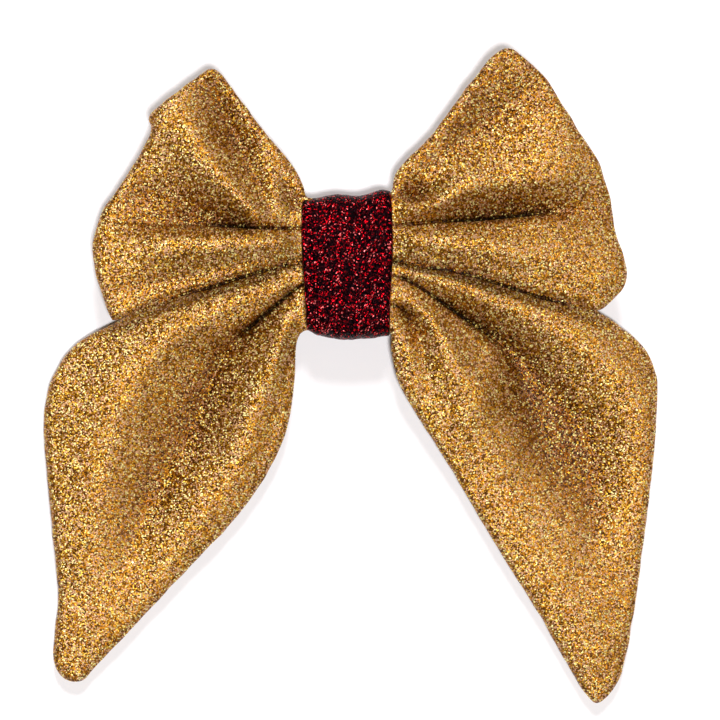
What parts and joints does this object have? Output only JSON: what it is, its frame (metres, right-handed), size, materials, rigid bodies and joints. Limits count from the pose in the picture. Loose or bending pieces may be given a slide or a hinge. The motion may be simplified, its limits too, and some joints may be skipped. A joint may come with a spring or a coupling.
{
  "type": "cheer hair bow",
  "caption": "Sailor-style hair bow: pointed upper loops and long pointed tails of gold metallic knit, gathered by a burgundy glitter centre band on a French barrette.",
  "frame": {"origin": "underside of the barrette's clasp arm, below the middle of the knot, with the bow lying face up", "axes": "+Z out of the bow's front, +Y towards the top of the bow (the loops), +X towards the viewer's right when the front is seen"},
  "size_m": [0.178, 0.1896, 0.0206],
  "materials": {
    "gold_knit": "sparkling gold metallic knit",
    "burgundy_knit": "dark burgundy glitter knit",
    "fleece": "matt felted fleece",
    "gold_thread": "twisted polyester thread",
    "white_thread": "waxed thread",
    "burgundy_thread": "twisted polyester thread",
    "grosgrain": "ribbed ribbon",
    "hot_melt": "cloudy hot-melt glue",
    "barrette_steel": "nickel-plated",
    "spring_steel": "nickel-plated spring"
  },
  "bodies": {
    "knot": {"loops_front_panel_middle": "gold_knit", "loops_interlining_middle": "fleece", "loops_seam_thread_middle": "gold_thread", "loops_back_panel_middle": "gold_knit", "tails_front_panel_middle": "gold_knit", "tails_interlining_middle": "fleece", "tails_seam_thread_middle": "gold_thread", "tails_back_panel_middle": "gold_knit", "gather_thread": "white_thread", "centre_band": "burgundy_knit", "band_closing_stitches": "burgundy_thread", "barrette_plate": "barrette_steel", "plate_liner": "grosgrain", "glue_pad": "hot_melt", "hinge_pin": "barrette_steel", "catch_base": "barrette_steel"},
    "left_loop": {"left_loop_front_panel": "gold_knit", "left_loop_interlining": "fleece", "left_loop_seam_thread": "gold_thread", "left_loop_back_panel": "gold_knit"},
    "right_loop": {"right_loop_front_panel": "gold_knit", "right_loop_interlining": "fleece", "right_loop_seam_thread": "gold_thread", "right_loop_back_panel": "gold_knit"},
    "left_tail": {"left_tail_front_panel": "gold_knit", "left_tail_interlining": "fleece", "left_tail_seam_thread": "gold_thread", "left_tail_back_panel": "gold_knit"},
    "right_tail": {"right_tail_front_panel": "gold_knit", "right_tail_interlining": "fleece", "right_tail_seam_thread": "gold_thread", "right_tail_back_panel": "gold_knit"},
    "clasp_arm": {"clasp_arm": "barrette_steel"},
    "tension_bar": {"tension_bar": "spring_steel"},
    "catch_tongue_upper": {"catch_tongue_upper": "spring_steel"},
    "catch_tongue_lower": {"catch_tongue_lower": "spring_steel"}
  },
  "joints": [
    {"name": "left_loop_bend", "type": "hinge", "parent": "knot", "child": "left_loop", "pos_m": [-0.03, 0.01, 0.0189], "axis": [0, 1, 0], "range_deg": [0, 45], "stiffness_Nm_per_rad": 0.08},
    {"name": "right_loop_bend", "type": "hinge", "parent": "knot", "child": "right_loop", "pos_m": [0.03, 0.01, 0.0189], "axis": [0, -1, 0], "range_deg": [0, 45], "stiffness_Nm_per_rad": 0.08},
    {"name": "left_tail_bend", "type": "hinge", "parent": "knot", "child": "left_tail", "pos_m": [-0.03, -0.038, 0.00915], "axis": [-0.856, 0.517, 0], "range_deg": [-30, 30], "stiffness_Nm_per_rad": 0.08},
    {"name": "right_tail_bend", "type": "hinge", "parent": "knot", "child": "right_tail", "pos_m": [0.03, -0.038, 0.00915], "axis": [-0.856, -0.517, 0], "range_deg": [-30, 30], "stiffness_Nm_per_rad": 0.08},
    {"name": "clasp_swing", "type": "hinge", "parent": "knot", "child": "clasp_arm", "pos_m": [0.037, 0, 0.002], "axis": [0, -1, 0], "range_deg": [0, 110]},
    {"name": "tension_bar_swing", "type": "hinge", "parent": "knot", "child": "tension_bar", "pos_m": [0.037, 0, 0.002], "axis": [0, -1, 0], "range_deg": [0, 44]},
    {"name": "upper_tongue_squeeze", "type": "hinge", "parent": "knot", "child": "catch_tongue_upper", "pos_m": [-0.034, 0.0019, 0.0046], "axis": [-1, 0, 0], "range_deg": [0, 10], "stiffness_Nm_per_rad": 0.01},
    {"name": "lower_tongue_squeeze", "type": "hinge", "parent": "knot", "child": "catch_tongue_lower", "pos_m": [-0.034, -0.0019, 0.0046], "axis": [1, 0, 0], "range_deg": [0, 10], "stiffness_Nm_per_rad": 0.01}
  ],
  "couplings": [
    {"joint": "tension_bar_swing", "follows": "clasp_swing", "ratio": 0.4}
  ]
}
